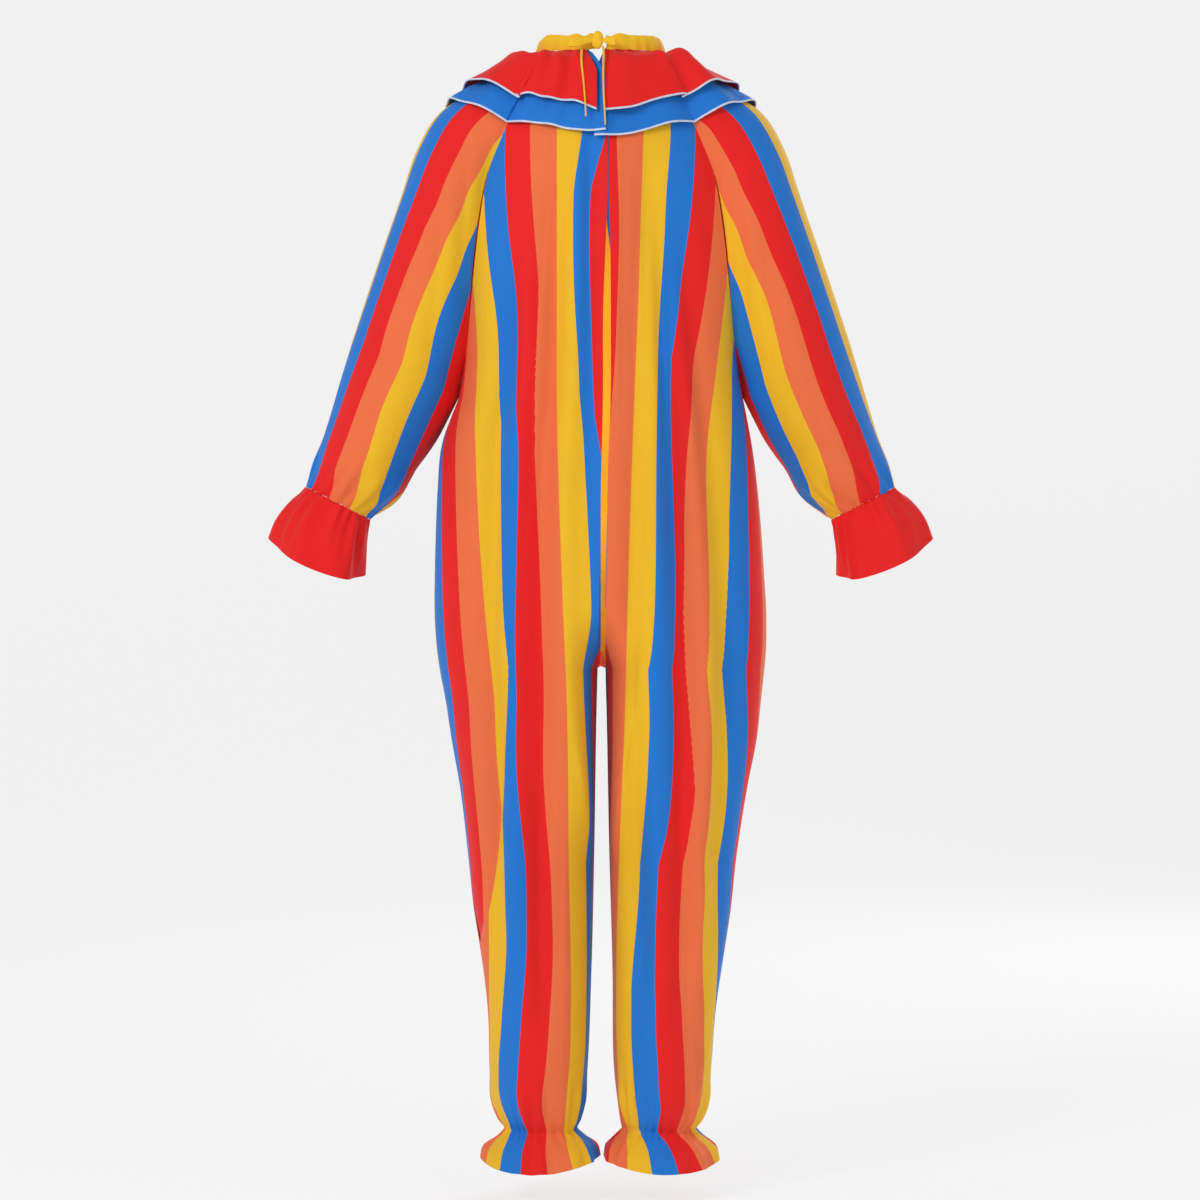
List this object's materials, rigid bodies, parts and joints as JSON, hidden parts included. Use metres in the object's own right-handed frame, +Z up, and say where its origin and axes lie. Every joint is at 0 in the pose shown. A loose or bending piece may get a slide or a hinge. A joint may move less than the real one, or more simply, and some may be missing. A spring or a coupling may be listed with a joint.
{
  "type": "clown costume",
  "caption": "One-piece striped clown costume, hollow and filled out as worn, with collar ruffles, raglan sleeves, wrist ruffles, gathered ankles and a centre back opening tied at the neck.",
  "frame": {"origin": "centre of the neck opening, where the garment is held", "axes": "+Z up, the wearer faces -Y, the back with its opening faces +Y, the wearer's left is +X"},
  "size_m": [0.8518, 0.2795, 1.4388],
  "materials": {
    "striped_cloth": "fine plain-weave polyester, soft satin sheen, stripes of yellow, blue, red and orange about 35 mm wide",
    "red_cloth": "fine plain-weave polyester, soft satin sheen",
    "blue_cloth": "fine plain-weave polyester, soft satin sheen",
    "yellow_cloth": "fine plain-weave polyester, gathered casing and ties",
    "pale_piping": "narrow pale satin binding"
  },
  "bodies": {
    "root": {"back_left": "striped_cloth", "back_right": "striped_cloth", "front_left": "striped_cloth", "front_right": "striped_cloth", "sleeve_left": "striped_cloth", "sleeve_right": "striped_cloth", "cuff_left": "red_cloth", "cuff_right": "red_cloth", "ruffle_red": "red_cloth", "ruffle_blue": "blue_cloth", "neckband": "yellow_cloth", "tie_knot": "yellow_cloth", "tie_loop_left": "yellow_cloth", "tie_loop_right": "yellow_cloth", "tie_tail_left": "yellow_cloth", "tie_tail_right": "yellow_cloth", "piping_red": "pale_piping", "piping_blue": "pale_piping"}
  },
  "joints": []
}
